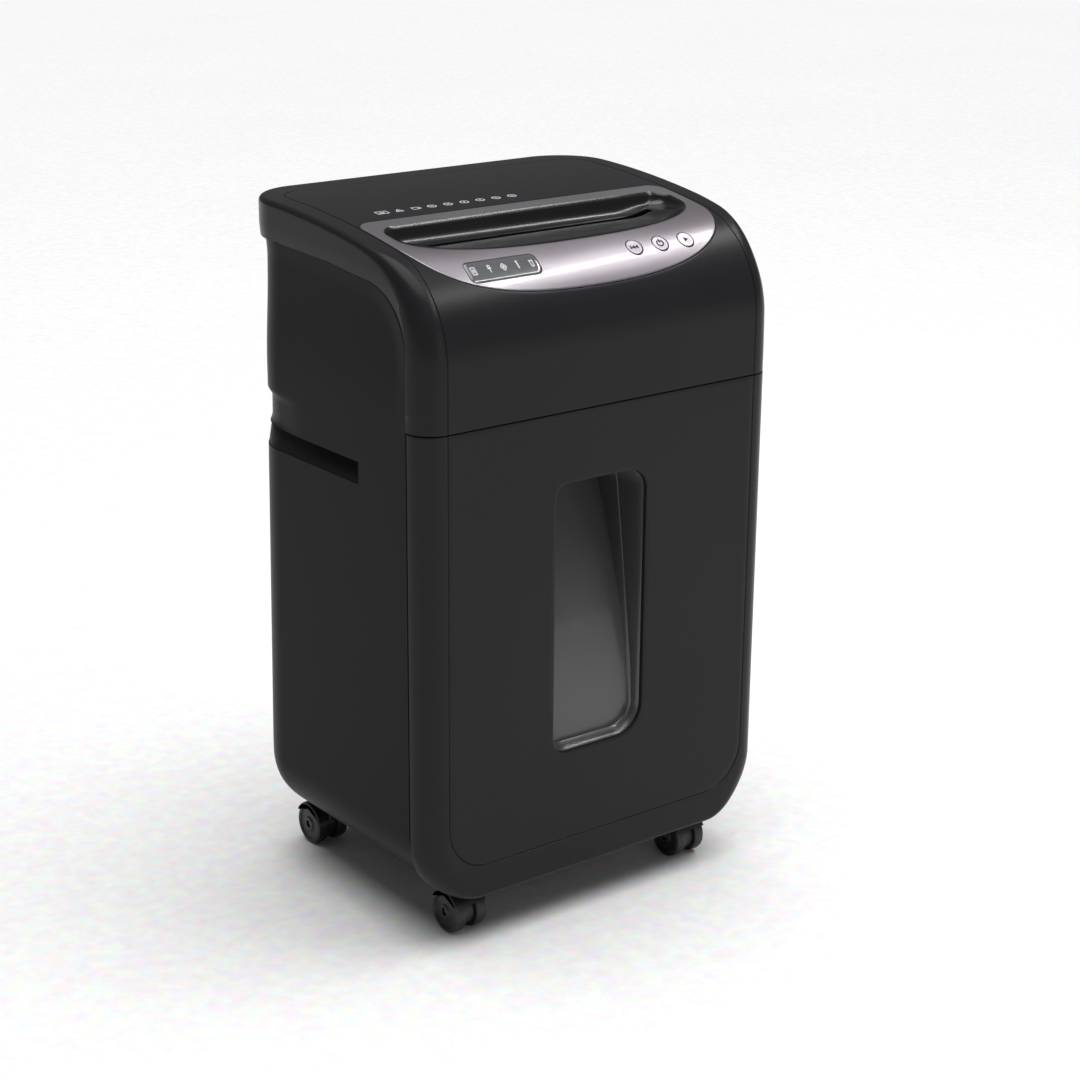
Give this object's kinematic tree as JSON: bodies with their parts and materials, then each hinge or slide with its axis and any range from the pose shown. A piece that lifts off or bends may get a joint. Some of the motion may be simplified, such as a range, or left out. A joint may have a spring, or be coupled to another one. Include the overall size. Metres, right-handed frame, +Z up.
{
  "type": "paper shredder",
  "caption": "Free-standing paper shredder: curved cutting head with feed slot and buttons over a cabinet with a windowed pull-out bin, on casters.",
  "frame": {"origin": "middle of the footprint, on the floor", "axes": "+Z up, the bin front and buttons face -Y, +X to the right seen from the front"},
  "size_m": [0.345, 0.262, 0.569],
  "materials": {
    "black_plastic": "satin, fine moulded grain",
    "black_gloss": "polished",
    "silver_trim": "satin metallic paint",
    "smoke_lens": "smoked, polished",
    "steel": "machined",
    "brass": "sintered",
    "nylon": "moulded",
    "circuit_board": "lacquered",
    "caster_plastic": "moulded"
  },
  "bodies": {
    "cabinet": {"head_cover": "black_plastic", "side_panel_left": "black_plastic", "side_panel_right": "black_plastic", "back_panel": "black_plastic", "base_tray": "black_plastic", "head_deck": "black_plastic", "interlock_switch": "black_plastic", "feed_throat": "black_gloss", "cord_gland": "black_gloss", "trim_panel": "silver_trim", "indicator_lens": "smoke_lens", "cutter_plate_left": "steel", "cutter_plate_right": "steel", "tie_rod_front": "steel", "tie_rod_rear": "steel", "stripper_comb_rear": "steel", "stripper_comb_front": "steel", "motor": "steel", "back_screw_1": "steel", "back_screw_2": "steel", "back_screw_3": "steel", "back_screw_4": "steel", "bush_front_left": "brass", "bush_front_right": "brass", "bush_rear_left": "brass", "bush_rear_right": "brass", "control_board": "circuit_board", "power_board": "circuit_board"},
    "bin": {"bin_front": "black_plastic", "window_lens": "smoke_lens", "bin_bucket": "black_plastic"},
    "rewind_button": {"rewind_button": "silver_trim"},
    "power_button": {"power_button": "silver_trim"},
    "forward_button": {"forward_button": "silver_trim"},
    "rear_cutter": {"cutter_shaft_rear": "steel", "timing_gear_rear": "steel", "drive_gear": "steel"},
    "front_cutter": {"cutter_shaft_front": "steel", "timing_gear_front": "steel"},
    "reduction_gear": {"reduction_gear": "nylon"},
    "motor_pinion": {"motor_pinion": "steel"},
    "paper_sensor_lever": {"paper_sensor_lever": "nylon"},
    "interlock_plunger": {"interlock_plunger": "nylon"},
    "caster_fork_front_left": {"caster_fork_front_left": "caster_plastic"},
    "caster_wheels_front_left": {"caster_axle_front_left": "steel", "caster_wheel_a_front_left": "caster_plastic", "caster_wheel_b_front_left": "caster_plastic"},
    "caster_fork_front_right": {"caster_fork_front_right": "caster_plastic"},
    "caster_wheels_front_right": {"caster_axle_front_right": "steel", "caster_wheel_a_front_right": "caster_plastic", "caster_wheel_b_front_right": "caster_plastic"},
    "caster_fork_rear_left": {"caster_fork_rear_left": "caster_plastic"},
    "caster_wheels_rear_left": {"caster_axle_rear_left": "steel", "caster_wheel_a_rear_left": "caster_plastic", "caster_wheel_b_rear_left": "caster_plastic"},
    "caster_fork_rear_right": {"caster_fork_rear_right": "caster_plastic"},
    "caster_wheels_rear_right": {"caster_axle_rear_right": "steel", "caster_wheel_a_rear_right": "caster_plastic", "caster_wheel_b_rear_right": "caster_plastic"}
  },
  "joints": [
    {"name": "bin_slide", "type": "slide", "parent": "cabinet", "child": "bin", "axis": [0, -1, 0], "range_m": [0, 0.24]},
    {"name": "rewind_press", "type": "slide", "parent": "cabinet", "child": "rewind_button", "axis": [0, 0.6293, -0.7771], "range_m": [0, 0.0015], "stiffness_N_per_m": 250},
    {"name": "power_press", "type": "slide", "parent": "cabinet", "child": "power_button", "axis": [0, 0.6293, -0.7771], "range_m": [0, 0.0015], "stiffness_N_per_m": 250},
    {"name": "forward_press", "type": "slide", "parent": "cabinet", "child": "forward_button", "axis": [0, 0.6293, -0.7771], "range_m": [0, 0.0015], "stiffness_N_per_m": 250},
    {"name": "cutter_rear_spin", "type": "hinge", "parent": "cabinet", "child": "rear_cutter", "pos_m": [0, -0.0251, 0.475], "axis": [1, 0, 0], "continuous": true},
    {"name": "cutter_front_spin", "type": "hinge", "parent": "cabinet", "child": "front_cutter", "pos_m": [0, -0.0569, 0.475], "axis": [1, 0, 0], "continuous": true},
    {"name": "reduction_spin", "type": "hinge", "parent": "cabinet", "child": "reduction_gear", "pos_m": [0, 0.0229, 0.475], "axis": [1, 0, 0], "continuous": true},
    {"name": "pinion_spin", "type": "hinge", "parent": "cabinet", "child": "motor_pinion", "pos_m": [0, 0.0619, 0.475], "axis": [1, 0, 0], "continuous": true},
    {"name": "sensor_lever_tip", "type": "hinge", "parent": "cabinet", "child": "paper_sensor_lever", "pos_m": [0, -0.051, 0.517], "axis": [-1, 0, 0], "range_deg": [0, 30], "stiffness_Nm_per_rad": 0.002},
    {"name": "interlock_press", "type": "slide", "parent": "cabinet", "child": "interlock_plunger", "axis": [0, 1, 0], "range_m": [0, 0.002], "stiffness_N_per_m": 200},
    {"name": "swivel_front_left", "type": "hinge", "parent": "cabinet", "child": "caster_fork_front_left", "pos_m": [-0.116, -0.085, 0.04], "axis": [0, 0, 1], "continuous": true},
    {"name": "roll_front_left", "type": "hinge", "parent": "caster_fork_front_left", "child": "caster_wheels_front_left", "pos_m": [-0.116, -0.095, 0.0175], "axis": [1, 0, 0], "continuous": true},
    {"name": "swivel_front_right", "type": "hinge", "parent": "cabinet", "child": "caster_fork_front_right", "pos_m": [0.116, -0.085, 0.04], "axis": [0, 0, 1], "continuous": true},
    {"name": "roll_front_right", "type": "hinge", "parent": "caster_fork_front_right", "child": "caster_wheels_front_right", "pos_m": [0.116, -0.095, 0.0175], "axis": [1, 0, 0], "continuous": true},
    {"name": "swivel_rear_left", "type": "hinge", "parent": "cabinet", "child": "caster_fork_rear_left", "pos_m": [-0.116, 0.097, 0.04], "axis": [0, 0, 1], "continuous": true},
    {"name": "roll_rear_left", "type": "hinge", "parent": "caster_fork_rear_left", "child": "caster_wheels_rear_left", "pos_m": [-0.116, 0.107, 0.0175], "axis": [1, 0, 0], "continuous": true},
    {"name": "swivel_rear_right", "type": "hinge", "parent": "cabinet", "child": "caster_fork_rear_right", "pos_m": [0.116, 0.097, 0.04], "axis": [0, 0, 1], "continuous": true},
    {"name": "roll_rear_right", "type": "hinge", "parent": "caster_fork_rear_right", "child": "caster_wheels_rear_right", "pos_m": [0.116, 0.107, 0.0175], "axis": [1, 0, 0], "continuous": true}
  ],
  "couplings": [
    {"joint": "cutter_front_spin", "follows": "cutter_rear_spin", "ratio": -1},
    {"joint": "reduction_spin", "follows": "cutter_rear_spin", "ratio": -3},
    {"joint": "pinion_spin", "follows": "cutter_rear_spin", "ratio": 10}
  ]
}
